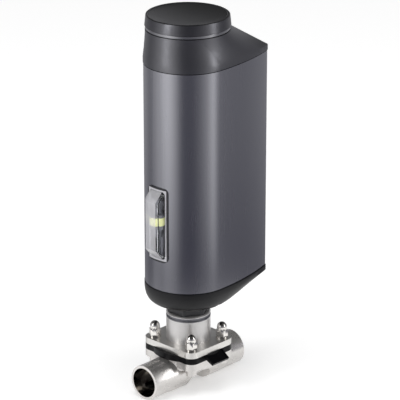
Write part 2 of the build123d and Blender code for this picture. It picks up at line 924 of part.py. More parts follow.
# Bottom cover: bowl under the drive, with motor posts, guide ribs and rod bosses
with BuildPart() as bottom_cover:
    for height, front, back, half in bottom_sections:
        with BuildSketch(level(height)):
            add(drop_plan(cover_proud, front, back, half))
    loft()
    with BuildSketch(level(cover_band_z)):
        add(drop_plan(cover_proud))
    extrude(amount=cover_top_z - cover_band_z)
    for height, front, back, half in bottom_sections[1:]:
        with BuildSketch(level(height + cover_floor)):
            add(drop_plan(-housing_wall, front, back, half))
    loft(mode=Mode.SUBTRACT)
    with BuildSketch(level(cover_band_z + cover_floor)):
        add(drop_plan(-housing_wall))
    extrude(amount=cover_top_z - cover_band_z - cover_floor, mode=Mode.SUBTRACT)
    with BuildSketch(level(drive_bottom_z)):
        Circle(adapter_neck_r + cover_floor)
    extrude(amount=adapter_neck)
    with BuildSketch(level(drive_bottom_z + cover_floor)):
        with ear_spots:
            Circle(ear_r)
    extrude(amount=frame_base_z - drive_bottom_z - cover_floor)
    with BuildSketch(level(drive_bottom_z + cover_floor)):
        for side in (-1, 1):
            with Locations((rib_x, side * rib_y)):
                Rectangle(rib_length, rib_thick)
    extrude(amount=arm_top_z - drive_bottom_z - cover_floor)
    with BuildSketch(level(rod_side_head_z + rod_head)):
        with Locations(*rod_side_spots):
            Circle(rod_boss_r)
    extrude(amount=cover_top_z - rod_side_head_z - rod_head)
    with BuildSketch(level(rod_back_head_z)):
        with Locations(*rod_back_spots):
            Circle(rod_boss_r)
    extrude(amount=cover_top_z - rod_back_head_z)
    with BuildSketch(level(drive_bottom_z)):
        Circle(adapter_neck_r + slip_gap)
    extrude(amount=2 * adapter_neck, mode=Mode.SUBTRACT)
    with BuildSketch(level(frame_base_z)):
        with ear_spots:
            Circle(screw_r + slip_gap)
    extrude(amount=-(screw_depth + slip_gap), mode=Mode.SUBTRACT)
    with BuildSketch(level(drive_bottom_z)):
        with Locations(*rod_side_spots):
            Circle(rod_head_r + rod_clear)
    extrude(amount=rod_side_head_z + rod_head - drive_bottom_z, mode=Mode.SUBTRACT)
    with BuildSketch(level(drive_bottom_z)):
        with Locations(*rod_back_spots):
            Circle(rod_head_r + rod_clear)
    extrude(amount=rod_back_head_z - drive_bottom_z, mode=Mode.SUBTRACT)
    with BuildSketch(level(drive_bottom_z)):
        with Locations(*rod_spots):
            Circle(rod_r + rod_clear)
    extrude(amount=cover_top_z - drive_bottom_z, mode=Mode.SUBTRACT)
bottom_cover.part.label = "bottom_cover"
export_step(bottom_cover.part, "parts/bottom_cover.step")

# Seam gaskets between the covers and the housing
with BuildPart() as lower_gasket:
    with BuildSketch(level(cover_top_z)):
        add(drop_plan(-gasket_inset))
        add(drop_plan(-housing_wall), mode=Mode.SUBTRACT)
    extrude(amount=gasket_thick)
lower_gasket.part.label = "lower_gasket"
export_step(lower_gasket.part, "parts/lower_gasket.step")

with BuildPart() as upper_gasket:
    with BuildSketch(level(housing_top_z)):
        add(drop_plan(-gasket_inset))
        add(drop_plan(-housing_wall), mode=Mode.SUBTRACT)
    extrude(amount=gasket_thick)
upper_gasket.part.label = "upper_gasket"
export_step(upper_gasket.part, "parts/upper_gasket.step")

# Housing: one extrusion with four ports for the tie rods, window and connector holes
with BuildPart() as housing:
    with BuildSketch(level(housing_bottom_z)):
        add(drop_plan())
        add(drop_plan(-housing_wall), mode=Mode.SUBTRACT)
        with Locations(*rod_side_spots):
            Circle(rod_port_r)
        with Locations(*rod_back_spots):
            Circle(rod_back_port_r)
        with Locations(*rod_spots):
            Circle(rod_r + rod_clear, mode=Mode.SUBTRACT)
    extrude(amount=housing_top_z - housing_bottom_z)
    with BuildSketch(across(-housing_r - overrun)):
        with Locations((0, window_z)):
            RectangleRounded(plate_width + window_clear, plate_height + window_clear, plate_corner)
    extrude(amount=2 * housing_wall + overrun, mode=Mode.SUBTRACT)
    with BuildSketch(across(inner_back_x - overrun)):
        with Locations((0, power_z)):
            Circle(power_r + window_clear)
        with Locations((0, signal_z), (0, bus_z)):
            Circle(signal_r + window_clear)
    extrude(amount=housing_wall + 2 * overrun, mode=Mode.SUBTRACT)
housing.part.label = "housing"
export_step(housing.part, "parts/housing.step")

# Window frame gasket on the outside of the housing
with BuildPart() as window_gasket:
    with BuildSketch(level(window_low_z)):
        Circle(housing_r + gasket_proud)
        Circle(housing_r, mode=Mode.SUBTRACT)
    extrude(amount=gasket_height)
    with BuildSketch(across(-housing_r - 2 * overrun)):
        with Locations((0, window_z)):
            RectangleRounded(gasket_width, gasket_height, gasket_corner)
            RectangleRounded(plate_width, plate_height, plate_corner, mode=Mode.SUBTRACT)
    extrude(amount=housing_r / 2, mode=Mode.INTERSECT)
window_gasket.part.label = "window_gasket"
export_step(window_gasket.part, "parts/window_gasket.step")

# Clear window: a curved plate with a hollow bay that the indicator travels in
with BuildPart() as window_bay:
    with BuildSketch(level(window_low_z)):
        Circle(housing_r + gasket_proud / 2)
        Circle(housing_r - housing_wall / 2, mode=Mode.SUBTRACT)
    extrude(amount=gasket_height)
    with BuildSketch(across(-housing_r - 2 * overrun)):
        with Locations((0, window_z)):
            RectangleRounded(
                plate_width - window_clear, plate_height - window_clear, plate_corner
            )
    extrude(amount=housing_r / 2, mode=Mode.INTERSECT)
    with BuildSketch(section_plane):
        with BuildLine():
            Polyline(
                (bay_root_x, bay_low_z),
                (-housing_r, bay_low_z),
                (bay_front_x, bay_low_z + bay_slope),
                (bay_front_x, bay_high_z - bay_slope),
                (-housing_r, bay_high_z),
                (bay_root_x, bay_high_z),
                close=True,
            )
        make_face()
    extrude(amount=bay_half, both=True)
    bay_edges = window_bay.edges().filter_by(Axis.Z).group_by(Axis.X)[0]
    fillet(bay_edges, bay_edge)
    with BuildSketch(section_plane):
        with BuildLine():
            Polyline(
                (bay_root_x + housing_wall, bay_low_z + bay_wall),
                (-housing_r, bay_low_z + bay_wall),
                (bay_front_x + bay_wall, bay_low_z + bay_slope + bay_wall / 2),
                (bay_front_x + bay_wall, bay_high_z - bay_slope - bay_wall / 2),
                (-housing_r, bay_high_z - bay_wall),
                (bay_root_x + housing_wall, bay_high_z - bay_wall),
                close=True,
            )
        make_face()
    extrude(amount=bay_half - bay_wall, both=True, mode=Mode.SUBTRACT)
window_bay.part.label = "window_bay"
export_step(window_bay.part, "parts/window_bay.step")

# Indicator arm: clamped on the spindle, it slides between two ribs so the spindle cannot turn
with BuildPart() as indicator_arm:
    with BuildSketch(level(arm_bottom_z)):
        Circle(arm_hub_r)
        with Locations((carrier_rod_x / 2, 0)):
            Rectangle(-carrier_rod_x, arm_width)
        with Locations((carrier_rod_x, 0)):
            Circle(arm_end_r)
        with Locations((carrier_rod_x, 0)):
            Circle(carrier_rod_r + slip_gap, mode=Mode.SUBTRACT)
        Circle(thread_r + slip_gap, mode=Mode.SUBTRACT)
    extrude(amount=arm_thick)
indicator_arm.part.label = "indicator_arm"
export_step(indicator_arm.part, "parts/indicator_arm.step")

# Indicator carrier: the rod up from the arm and the column behind the window
with BuildPart() as indicator_carrier:
    with BuildSketch(level(arm_bottom_z)):
        with Locations((carrier_rod_x, 0)):
            Circle(carrier_rod_r)
    extrude(amount=carrier_top_z - knob_height - arm_bottom_z)
    with BuildSketch(level(carrier_bottom_z)):
        with Locations((carrier_x, 0)):
            Circle(carrier_r)
    extrude(amount=carrier_top_z - knob_height - carrier_bottom_z)
    with BuildSketch(level(carrier_top_z - knob_height)):
        with Locations((carrier_x, 0)):
            RegularPolygon(knob_r, 6, major_radius=False)
    extrude(amount=knob_height)
    chamfer(indicator_carrier.faces().sort_by(Axis.Z)[-1].edges(), knob_bevel)
indicator_carrier.part.label = "indicator_carrier"
export_step(indicator_carrier.part, "parts/indicator_carrier.step")

# Coloured sleeve that shows the position
with BuildPart() as indicator_sleeve:
    with BuildSketch(level(sleeve_bottom_z)):
        with Locations((carrier_x, 0)):
            Circle(sleeve_r)
        with Locations((carrier_x, 0)):
            Circle(carrier_r + slip_gap, mode=Mode.SUBTRACT)
        with Locations((carrier_rod_x, 0)):
            Circle(carrier_rod_r + slip_gap, mode=Mode.SUBTRACT)
    extrude(amount=sleeve_height)
indicator_sleeve.part.label = "indicator_sleeve"
export_step(indicator_sleeve.part, "parts/indicator_sleeve.step")

# Motor frame: bearing seat below, tube around the stator, ears on the posts
with BuildPart() as motor_frame:
    with BuildSketch(level(frame_base_z)):
        Circle(frame_r)
    extrude(amount=frame_top_z - frame_base_z)
    with BuildSketch(level(frame_base_z)):
        with ear_spots:
            Circle(ear_r)
    extrude(amount=ear_thick)
    with BuildSketch(section_plane):
        with BuildLine():
            Polyline(
                (0, frame_base_z),
                (bearing_bore_r + bearing_lip, frame_base_z),
                (bearing_bore_r + bearing_lip, bearing_low_z),
                (bearing_r + slip_gap, bearing_low_z),
                (bearing_r + slip_gap, frame_base_z + frame_base),
                (stator_r, frame_base_z + frame_base),
                (stator_r, frame_top_z),
                (0, frame_top_z),
                close=True,
            )
        make_face()
    revolve(axis=valve_axis, mode=Mode.SUBTRACT)
    with BuildSketch(level(frame_base_z)):
        with ear_spots:
            Circle(screw_r + slip_gap)
    extrude(amount=ear_thick, mode=Mode.SUBTRACT)
motor_frame.part.label = "motor_frame"
export_step(motor_frame.part, "parts/motor_frame.step")

# Screws that hold the motor frame on the posts of the bottom cover
with BuildPart() as frame_screws:
    with BuildSketch(level(frame_base_z + ear_thick)):
        with ear_spots:
            Circle(screw_head_r)
    extrude(amount=screw_head)
    with BuildSketch(level(frame_base_z - screw_depth)):
        with ear_spots:
            Circle(screw_r)
    extrude(amount=screw_depth + ear_thick)
frame_screws.part.label = "frame_screws"
export_step(frame_screws.part, "parts/frame_screws.step")

# Lower and upper motor bearings, drawn closed as sealed bearings look
with BuildPart() as lower_bearing:
    with BuildSketch(level(bearing_low_z)):
        Circle(bearing_r)
        Circle(bearing_bore_r + running_gap, mode=Mode.SUBTRACT)
    extrude(amount=bearing_width)
    with BuildSketch(level(bearing_low_z + bearing_width)):
        Circle(bearing_r - bearing_lip)
        Circle(bearing_bore_r + bearing_lip, mode=Mode.SUBTRACT)
    extrude(amount=-seal_recess, mode=Mode.SUBTRACT)
lower_bearing.part.label = "lower_bearing"
export_step(lower_bearing.part, "parts/lower_bearing.step")

with BuildPart() as upper_bearing:
    with BuildSketch(level(bearing_high_z)):
        Circle(bearing_r)
        Circle(bearing_bore_r + running_gap, mode=Mode.SUBTRACT)
    extrude(amount=bearing_width)
    with BuildSketch(level(bearing_high_z)):
        Circle(bearing_r - bearing_lip)
        Circle(bearing_bore_r + bearing_lip, mode=Mode.SUBTRACT)
    extrude(amount=seal_recess, mode=Mode.SUBTRACT)
upper_bearing.part.label = "upper_bearing"
export_step(upper_bearing.part, "parts/upper_bearing.step")

# Motor cap: end shield that holds the upper bearing
with BuildPart() as motor_cap:
    with BuildSketch(level(frame_top_z)):
        Circle(frame_r)
    extrude(amount=motor_cap_height)
    with BuildSketch(level(bearing_high_z)):
        Circle(bearing_r + frame_wall)
    extrude(amount=frame_top_z - bearing_high_z)
    with BuildSketch(level(bearing_high_z)):
        Circle(bearing_r + slip_gap)
    extrude(amount=bearing_width, mode=Mode.SUBTRACT)
    with BuildSketch(level(bearing_high_z)):
        Circle(bearing_bore_r + bearing_lip)
    extrude(amount=2 * motor_cap_height, mode=Mode.SUBTRACT)
motor_cap.part.label = "motor_cap"
export_step(motor_cap.part, "parts/motor_cap.step")

# Stator core: laminated ring with open slots
with BuildPart() as stator_core:
    with BuildSketch(level(stator_bottom_z)):
        Circle(stator_r - slip_gap)
        Circle(stator_bore_r, mode=Mode.SUBTRACT)
        with PolarLocations(0, slot_count):
            with Locations((slot_mid_r, 0)):
                Rectangle(slot_outer_r - slot_inner_r, slot_width, mode=Mode.SUBTRACT)
            with Locations((slot_inner_r - slot_mouth / 2, 0)):
                Rectangle(2 * slot_mouth, slot_mouth, mode=Mode.SUBTRACT)
    extrude(amount=stator_height)
stator_core.part.label = "stator_core"
export_step(stator_core.part, "parts/stator_core.step")

# Stator windings: bars in the slots joined by the two winding heads
with BuildPart() as stator_windings:
    with BuildSketch(level(winding_bottom_z)):
        with PolarLocations(0, slot_count):
            with Locations((slot_mid_r, 0)):
                Rectangle(
                    slot_outer_r - slot_inner_r - 2 * winding_gap,
                    slot_width - 2 * winding_gap,
                )
    extrude(amount=winding_top_z - winding_bottom_z)
    for height in (winding_bottom_z, stator_bottom_z + stator_height + winding_gap):
        with BuildSketch(level(height)):
            Circle(slot_outer_r)
            Circle(slot_inner_r, mode=Mode.SUBTRACT)
        extrude(amount=winding_overhang - winding_gap)
stator_windings.part.label = "stator_windings"
export_step(stator_windings.part, "parts/stator_windings.step")

# Rotor shaft: hollow, with the drive nut in its foot and a stub on top
with BuildPart() as rotor_shaft:
    with BuildSketch(level(rotor_bottom_z)):
        Circle(bearing_bore_r)
    extrude(amount=shaft_top_z - rotor_bottom_z)
    with BuildSketch(level(shaft_top_z)):
        Circle(stub_r)
    extrude(amount=stub_height)
    with BuildSketch(level(rotor_bottom_z)):
        Circle(nut_r + slip_gap)
    extrude(amount=nut_length, mode=Mode.SUBTRACT)
    with BuildSketch(level(rotor_bottom_z)):
        Circle(shaft_bore_r)
    extrude(amount=shaft_top_z - shaft_cap - rotor_bottom_z, mode=Mode.SUBTRACT)
rotor_shaft.part.label = "rotor_shaft"
export_step(rotor_shaft.part, "parts/rotor_shaft.step")

# Drive nut: turns with the rotor and moves the spindle
with BuildPart() as drive_nut:
    with BuildSketch(level(rotor_bottom_z)):
        Circle(nut_r)
        Circle(thread_r + running_gap, mode=Mode.SUBTRACT)
    extrude(amount=nut_length)
drive_nut.part.label = "drive_nut"
export_step(drive_nut.part, "parts/drive_nut.step")

# Rotor magnets: arc segments around the shaft
with BuildPart() as rotor_magnets:
    with BuildSketch(level(stator_bottom_z)):
        Circle(bearing_bore_r + magnet_thick)
        Circle(bearing_bore_r + slip_gap, mode=Mode.SUBTRACT)
        with PolarLocations(bearing_bore_r + magnet_thick / 2, magnet_count):
            Rectangle(2 * magnet_thick, magnet_gap, mode=Mode.SUBTRACT)
    extrude(amount=stator_height)
rotor_magnets.part.label = "rotor_magnets"
export_step(rotor_magnets.part, "parts/rotor_magnets.step")

# Encoder disc on the stub of the rotor shaft
with BuildPart() as encoder_disc:
    with BuildSketch(level(shaft_top_z)):
        Circle(encoder_disc_r)
        Circle(stub_r + slip_gap, mode=Mode.SUBTRACT)
    extrude(amount=encoder_disc_height)
encoder_disc.part.label = "encoder_disc"
export_step(encoder_disc.part, "parts/encoder_disc.step")

# Manual override shaft: slipped on the stub, with a hex socket under the cap
with BuildPart() as override_shaft:
    with BuildSketch(level(override_bottom_z)):
        Circle(override_sleeve_r)
    extrude(amount=stub_height)
    with BuildSketch(level(override_bottom_z)):
        Circle(override_r)
    extrude(amount=override_top_z - override_bottom_z)
    with BuildSketch(level(override_bottom_z)):
        Circle(stub_r + slip_gap)
    extrude(amount=shaft_top_z + stub_height - override_bottom_z, mode=Mode.SUBTRACT)
    with BuildSketch(level(override_top_z)):
        RegularPolygon(override_socket_flats / 2, 6, major_radius=False)
    extrude(amount=-override_socket, mode=Mode.SUBTRACT)
override_shaft.part.label = "override_shaft"
export_step(override_shaft.part, "parts/override_shaft.step")

# Encoder board above the disc, on three pillars of the motor cap
with BuildPart() as encoder_board:
    with BuildSketch(level(encoder_board_z)):
        Circle(encoder_board_r)
        Circle(override_sleeve_r + override_sleeve_clear, mode=Mode.SUBTRACT)
    extrude(amount=board_thick)
encoder_board.part.label = "encoder_board"
export_step(encoder_board.part, "parts/encoder_board.step")

with BuildPart() as encoder_pillars:
    with BuildSketch(level(frame_top_z + motor_cap_height)):
        with PolarLocations(pillar_orbit, pillar_count, start_angle=60):
            Circle(standoff_r)
    extrude(amount=encoder_board_z - frame_top_z - motor_cap_height)
encoder_pillars.part.label = "encoder_pillars"
export_step(encoder_pillars.part, "parts/encoder_pillars.step")

# Main board on its bracket, which stands off the back wall of the housing
with BuildPart() as main_board:
    with BuildSketch(across(main_board_x)):
        with Locations((0, main_board_mid_z)):
            Rectangle(main_board_width, main_board_height)
    extrude(amount=board_thick)
    with BuildSketch(across(main_board_x)):
        for part_y, part_z in (chip_spot, relay_spot):
            with Locations((part_y, main_board_mid_z + part_z)):
                Rectangle(chip_side, chip_side)
        with Locations((supply_spot[0], main_board_mid_z + supply_spot[1])):
            Rectangle(supply_width, supply_length)
    extrude(amount=-board_parts)
main_board.part.label = "main_board"
export_step(main_board.part, "parts/main_board.step")

with BuildPart() as board_bracket:
    with BuildSketch(across(bracket_x)):
        with Locations((0, main_board_mid_z)):
            Rectangle(main_board_width, main_board_height)
        for height in (power_z, signal_z, bus_z):
            with Locations((0, height)):
                Circle(power_flange_r, mode=Mode.SUBTRACT)
    extrude(amount=bracket_thick)
    with BuildSketch(across(main_board_x + board_thick)):
        with standoff_spots:
            Circle(standoff_r)
    extrude(amount=bracket_x - main_board_x - board_thick)
    with BuildSketch(across(bracket_x + bracket_thick)):
        with standoff_spots:
            Circle(standoff_r)
    extrude(amount=inner_back_x - bracket_x - bracket_thick)
board_bracket.part.label = "board_bracket"
export_step(board_bracket.part, "parts/board_bracket.step")

# Connectors through the back wall: power above, signal and bus below
connector_sizes = [
    ("power_connector", power_z, power_r, power_flange_r, power_contact_count),
    ("signal_connector", signal_z, signal_r, signal_flange_r, signal_contact_count),
    ("bus_connector", bus_z, signal_r, signal_flange_r, signal_contact_count),
]
for name, height, body_radius, flange_radius, contacts in connector_sizes:
    with BuildPart() as connector:
        with BuildSketch(across(housing_back_x)):
            with Locations((0, height)):
                RegularPolygon(flange_radius, 6, major_radius=True)
        extrude(amount=connector_flange)
        with BuildSketch(across(inner_back_x - connector_inside)):
            with Locations((0, height)):
                Circle(body_radius)
        extrude(amount=housing_wall + connector_inside + connector_reach)
        with BuildSketch(across(housing_back_x + connector_reach)):
            with Locations((0, height)):
                Circle(body_radius - connector_wall)
        extrude(amount=-connector_well, mode=Mode.SUBTRACT)
        with BuildSketch(across(housing_back_x + connector_reach - connector_well)):
            with Locations((0, height)):
                with PolarLocations(body_radius / 2 - contact_r, contacts):
                    Circle(contact_r)
        extrude(amount=-contact_depth, mode=Mode.SUBTRACT)
    connector.part.label = name
    export_step(connector.part, "parts/" + name + ".step")

# Nuts that hold the connectors from inside
with BuildPart() as connector_nuts:
    for height, body_radius, flange_radius in (
        (power_z, power_r, power_flange_r),
        (signal_z, signal_r, signal_flange_r),
        (bus_z, signal_r, signal_flange_r),
    ):
        with BuildSketch(across(inner_back_x)):
            with Locations((0, height)):
                RegularPolygon(flange_radius, 6, major_radius=True)
                Circle(body_radius + slip_gap, mode=Mode.SUBTRACT)
        extrude(amount=-connector_nut)
connector_nuts.part.label = "connector_nuts"
export_step(connector_nuts.part, "parts/connector_nuts.step")

# Top cover: from the housing plan to the round neck, with the deck for the override shaft
with BuildPart() as top_cover:
    with BuildSketch(level(top_cover_z)):
        add(drop_plan(cover_proud))
    extrude(amount=cover_band)
    with BuildSketch(level(top_cover_z + cover_band)):
        add(drop_plan(cover_proud))
    with BuildSketch(level(cover_neck_z)):
        add(round_plan(cover_neck_r))
    loft(ruled=True)
    with BuildSketch(level(top_cover_z)):
        add(drop_plan(-housing_wall))
    extrude(amount=cover_band, mode=Mode.SUBTRACT)
    with BuildSketch(level(top_cover_z + cover_band)):
        add(drop_plan(-housing_wall))
    with BuildSketch(level(deck_z)):
        add(round_plan(cover_neck_r - housing_wall))
    loft(ruled=True, mode=Mode.SUBTRACT)
    with BuildSketch(level(deck_z)):
        Circle(override_bush_r + deck_thick)
    extrude(amount=-bush_drop)
    with BuildSketch(level(cover_neck_z)):
        Circle(override_bush_r + slip_gap)
    extrude(amount=-(deck_thick + bush_drop), mode=Mode.SUBTRACT)
    for spots, rod_top_z in ((rod_side_spots, rod_side_top_z), (rod_back_spots, rod_back_top_z)):
        with BuildSketch(level(top_cover_z)):
            with Locations(*spots):
                Circle(rod_boss_r)
        extrude(amount=rod_top_z + rod_boss_cover - top_cover_z)
        with BuildSketch(level(top_cover_z)):
            with Locations(*spots):
                Circle(rod_r + slip_gap)
        extrude(amount=rod_top_z - top_cover_z, mode=Mode.SUBTRACT)
    with BuildSketch(level(cover_neck_z)):
        Circle(ring_seat_r)
        Circle(ring_seat_r - deck_thick, mode=Mode.SUBTRACT)
    extrude(amount=thread_collar)
top_cover.part.label = "top_cover"
export_step(top_cover.part, "parts/top_cover.step")

# Tie rods from the bottom cover through the housing ports into the top cover
with BuildPart() as tie_rods:
    for spots, head_z, rod_top_z in (
        (rod_side_spots, rod_side_head_z, rod_side_top_z),
        (rod_back_spots, rod_back_head_z - rod_head, rod_back_top_z),
    ):
        with BuildSketch(level(head_z)):
            with Locations(*spots):
                Circle(rod_head_r)
        extrude(amount=rod_head)
        with BuildSketch(level(head_z + rod_head)):
            with Locations(*spots):
                Circle(rod_r)
        extrude(amount=rod_top_z - head_z - rod_head)
tie_rods.part.label = "tie_rods"
export_step(tie_rods.part, "parts/tie_rods.step")

# Bush for the override shaft in the deck
with BuildPart() as override_bush:
    with BuildSketch(level(cover_neck_z)):
        Circle(override_bush_r)
        Circle(override_r + running_gap, mode=Mode.SUBTRACT)
    extrude(amount=-(deck_thick + bush_drop))
override_bush.part.label = "override_bush"
export_step(override_bush.part, "parts/override_bush.step")

# Light ring on the neck, and its board below the deck
with BuildPart() as light_ring:
    with BuildSketch(level(cover_neck_z + ring_gap)):
        Circle(ring_r)
        Circle(ring_seat_r + slip_gap, mode=Mode.SUBTRACT)
    extrude(amount=ring_height)
light_ring.part.label = "light_ring"
export_step(light_ring.part, "parts/light_ring.step")

with BuildPart() as light_board:
    with BuildSketch(level(deck_z)):
        Circle(led_board_r)
        Circle(led_board_r - led_board_width, mode=Mode.SUBTRACT)
    extrude(amount=-board_thick)
light_board.part.label = "light_board"
export_step(light_board.part, "parts/light_board.step")

# Screw cap over the override shaft, with its seal
with BuildPart() as cap:
    with BuildSketch(section_plane):
        with BuildLine():
            Polyline(
                (0, cap_top_z - cap_dish),
                (cap_dish_r, cap_top_z - cap_dish),
                (cap_dish_r + cap_dish, cap_top_z),
                (cap_top_r, cap_top_z),
                (cap_r, cap_bottom_z),
                (cap_r - cap_wall, cap_bottom_z),
                (cap_r - cap_wall, cap_top_z - cap_wall),
                (0, cap_top_z - cap_wall),
                close=True,
            )
        make_face()
    revolve(axis=valve_axis)
    with BuildSketch(level(cap_top_z - cap_wall)):
        Circle(collar_bore_r - skirt_gap)
        Circle(collar_bore_r - skirt_gap - cap_wall, mode=Mode.SUBTRACT)
    extrude(amount=-skirt_depth)
    cap_rim = cap.edges().filter_by_position(Axis.Z, cap_top_z, cap_top_z).sort_by(SortBy.LENGTH)[-1]
    fillet(cap_rim, cap_edge)
cap.part.label = "cap"
export_step(cap.part, "parts/cap.step")

with BuildPart() as cap_seal:
    with BuildSketch(level(cap_top_z - cap_wall)):
        Circle(ring_seat_r)
        Circle(ring_seat_r - deck_thick, mode=Mode.SUBTRACT)
    extrude(amount=-cap_seal_thick)
cap_seal.part.label = "cap_seal"
export_step(cap_seal.part, "parts/cap_seal.step")
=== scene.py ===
import json
from math import cos, hypot, pi, radians, sin

import bmesh
import bpy
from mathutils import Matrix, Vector

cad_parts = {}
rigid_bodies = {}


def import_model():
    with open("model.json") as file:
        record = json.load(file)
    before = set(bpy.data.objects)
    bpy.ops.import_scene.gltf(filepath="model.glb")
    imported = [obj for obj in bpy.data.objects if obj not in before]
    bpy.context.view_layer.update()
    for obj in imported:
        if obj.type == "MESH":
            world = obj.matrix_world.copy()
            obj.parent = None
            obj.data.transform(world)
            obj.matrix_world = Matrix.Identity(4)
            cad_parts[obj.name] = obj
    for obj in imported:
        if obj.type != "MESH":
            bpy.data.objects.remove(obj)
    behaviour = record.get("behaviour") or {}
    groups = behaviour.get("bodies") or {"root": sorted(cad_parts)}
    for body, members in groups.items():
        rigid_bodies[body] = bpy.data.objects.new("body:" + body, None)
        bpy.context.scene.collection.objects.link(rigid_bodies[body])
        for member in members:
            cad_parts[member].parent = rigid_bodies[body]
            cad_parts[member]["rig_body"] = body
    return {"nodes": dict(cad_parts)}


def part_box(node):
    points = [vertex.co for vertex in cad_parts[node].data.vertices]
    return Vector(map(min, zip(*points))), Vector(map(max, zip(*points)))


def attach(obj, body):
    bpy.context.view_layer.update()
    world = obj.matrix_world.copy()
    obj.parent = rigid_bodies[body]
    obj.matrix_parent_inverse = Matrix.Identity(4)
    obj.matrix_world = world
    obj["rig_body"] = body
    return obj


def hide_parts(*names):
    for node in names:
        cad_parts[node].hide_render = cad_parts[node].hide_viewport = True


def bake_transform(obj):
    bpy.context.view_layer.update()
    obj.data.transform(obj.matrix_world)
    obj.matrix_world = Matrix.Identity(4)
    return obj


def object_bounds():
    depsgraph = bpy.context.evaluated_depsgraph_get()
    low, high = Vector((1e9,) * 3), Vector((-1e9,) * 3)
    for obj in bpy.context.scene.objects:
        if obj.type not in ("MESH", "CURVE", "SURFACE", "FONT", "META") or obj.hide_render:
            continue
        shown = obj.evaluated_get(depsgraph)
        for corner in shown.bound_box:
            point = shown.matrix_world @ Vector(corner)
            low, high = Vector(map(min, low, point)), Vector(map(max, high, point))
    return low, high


# A motorised diaphragm valve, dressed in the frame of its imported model. Lengths are in metres.
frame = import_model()
cad_low, cad_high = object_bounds()
MM = 0.001

# Places that the frame gives. The valve stands on the upright axis x = VALVE_X, y = 0.
BODY_LOW, BODY_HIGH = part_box("valve_body")
VALVE_X = (BODY_LOW.x + BODY_HIGH.x) / 2
GASKET_LOW, GASKET_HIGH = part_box("window_gasket")
GASKET_MIDDLE = (GASKET_LOW + GASKET_HIGH) / 2


# Mesh helpers

# Points nearer than a weld gap become one. Faces that meet at more than a sharp turn keep their
# edge, and a skin's faces that meet at less than the flat turn become one.
WELD_GAP = 1e-7
SHARP_TURN = radians(40)
SKIN_WELD_GAP = 2e-6
SKIN_SHARP_TURN = radians(35)
SKIN_FLAT_TURN = radians(0.5)
EDGE_SEGMENTS = 2


def new_object(name, verts, faces):
    """Mesh object with outward normals, smooth shaded except at sharp edges."""
    mesh = bpy.data.meshes.new(name)
    mesh.from_pydata(verts, [], faces)
    bm = bmesh.new()
    bm.from_mesh(mesh)
    bmesh.ops.remove_doubles(bm, verts=bm.verts, dist=WELD_GAP)
    bmesh.ops.recalc_face_normals(bm, faces=bm.faces)
    bm.to_mesh(mesh)
    bm.free()
    mesh.shade_smooth()
    mesh.set_sharp_from_angle(angle=SHARP_TURN)
    obj = bpy.data.objects.new(name, mesh)
    bpy.context.scene.collection.objects.link(obj)
    return obj


def turned(section, steps, axis_x=0.0):
    """Points and faces of the surface swept by a half section of (radius, height) pairs."""
    verts = []
    faces = []
    count = len(section)
    for i in range(steps):
        a = 2 * pi * i / steps
        verts += [(axis_x + r * cos(a), r * sin(a), z) for r, z in section]
        here = i * count
        there = (i + 1) % steps * count
        faces += [(here + j, there + j, there + j + 1, here + j + 1) for j in range(count - 1)]
    return verts, faces


def skin_of(node, edge):
    """Own copy of a CAD node's surface, welded and edge rounded, that stands for the node."""
    source = frame["nodes"][node]
    mesh = source.data.copy()
    mesh.name = node + "_skin"
    bm = bmesh.new()
    bm.from_mesh(mesh)
    bmesh.ops.remove_doubles(bm, verts=bm.verts, dist=SKIN_WELD_GAP)
    bmesh.ops.dissolve_limit(bm, angle_limit=SKIN_FLAT_TURN, verts=bm.verts, edges=bm.edges)
    bmesh.ops.recalc_face_normals(bm, faces=bm.faces)
    bm.to_mesh(mesh)
    bm.free()
    mesh.materials.clear()
    mesh.materials.append(NODE_FINISH[node])
    mesh.shade_smooth()
    mesh.set_sharp_from_angle(angle=SKIN_SHARP_TURN)
    obj = bpy.data.objects.new(mesh.name, mesh)
    bpy.context.scene.collection.objects.link(obj)
    bevel = obj.modifiers.new("edge", "BEVEL")
    bevel.width = edge
    bevel.segments = EDGE_SEGMENTS
    bevel.limit_method = "ANGLE"
    bevel.angle_limit = SKIN_SHARP_TURN
    bevel.harden_normals = True
    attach(obj, source["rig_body"])
    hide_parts(node)
    return obj


def repaint(obj, material, test, cuts=()):
    """Second material on the faces whose middle and normal pass a test, after flat cuts."""
    obj.data.materials.append(material)
    slot = len(obj.data.materials) - 1
    bm = bmesh.new()
    bm.from_mesh(obj.data)
    for normal, place in cuts:
        parts = bm.verts[:] + bm.edges[:] + bm.faces[:]
        bmesh.ops.bisect_plane(bm, geom=parts, plane_co=Vector(normal) * place, plane_no=normal)
    bm.normal_update()
    for face in bm.faces:
        if test(face.calc_center_bounds(), face.normal):
            face.material_index = slot
    bm.to_mesh(obj.data)
    bm.free()


# Materials

NOISE_DETAIL = 5.0
NOISE_ROUGHNESS = 0.6
RAMP_LOW = 0.3
RAMP_HIGH = 0.7
LEAST_ROUGHNESS = 0.02
RELIEF_DEPTH = 0.04 * MM


def linear(hex_colour):
    """Linear colour of an sRGB hex string, by the curve of the sRGB standard."""
    out = []
    for i in (1, 3, 5):
        c = int(hex_colour[i:i + 2], 16) / 255
        out.append(c / 12.92 if c <= 0.04045 else ((c + 0.055) / 1.055) ** 2.4)
    return tuple(out)


def node_material(name):
    """New node material with its nodes and links."""
    material = bpy.data.materials.new(name)
    material.use_nodes = True
    return material, material.node_tree.nodes, material.node_tree.links


